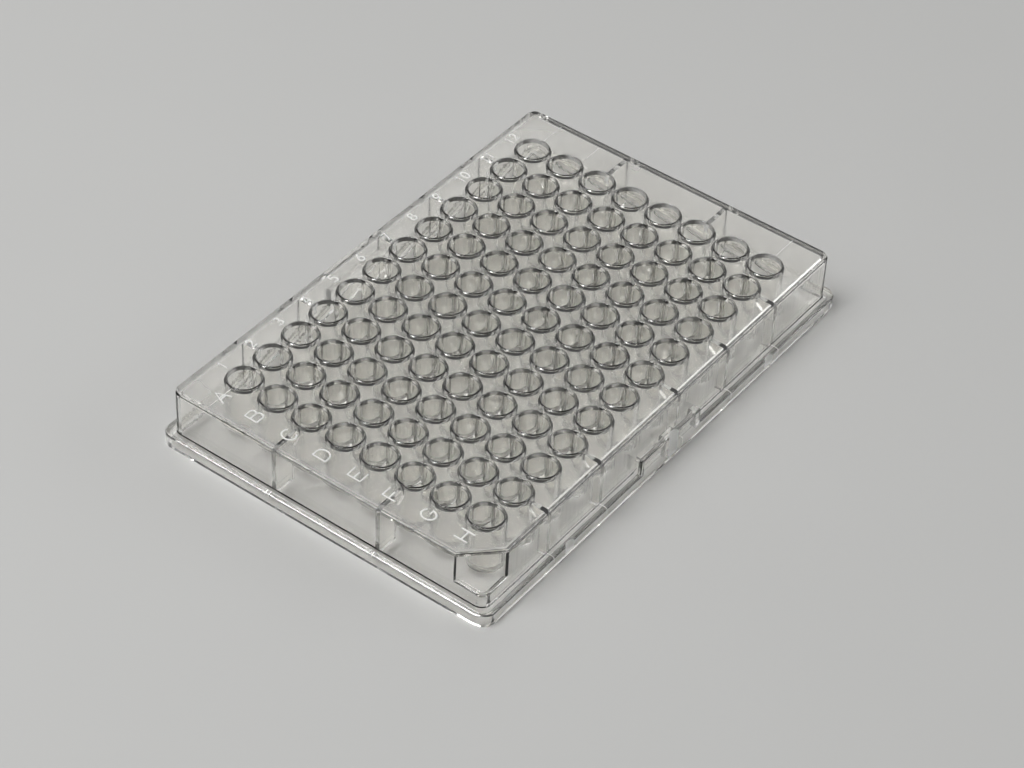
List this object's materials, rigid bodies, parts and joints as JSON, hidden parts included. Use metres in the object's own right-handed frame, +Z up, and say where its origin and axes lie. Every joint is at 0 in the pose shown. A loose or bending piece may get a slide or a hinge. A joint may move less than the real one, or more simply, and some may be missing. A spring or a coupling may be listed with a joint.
{
  "type": "well plate",
  "caption": "Shallow rectangular clear plastic plate with a grid of round flat-bottomed wells, a ribbed skirt on a stepped base flange and one cut corner.",
  "frame": {"origin": "centre of the rectangular footprint, on the bench", "axes": "+X along the long side, from column 1 to column 12; +Y towards row A; +Z up, out of the wells"},
  "size_m": [0.1278, 0.0854, 0.0143],
  "materials": {
    "clear_polystyrene": "clear injection-moulded polystyrene, smooth and glossy, with a faint neutral tint"
  },
  "bodies": {
    "root": {"well_plate": "clear_polystyrene"}
  },
  "joints": []
}
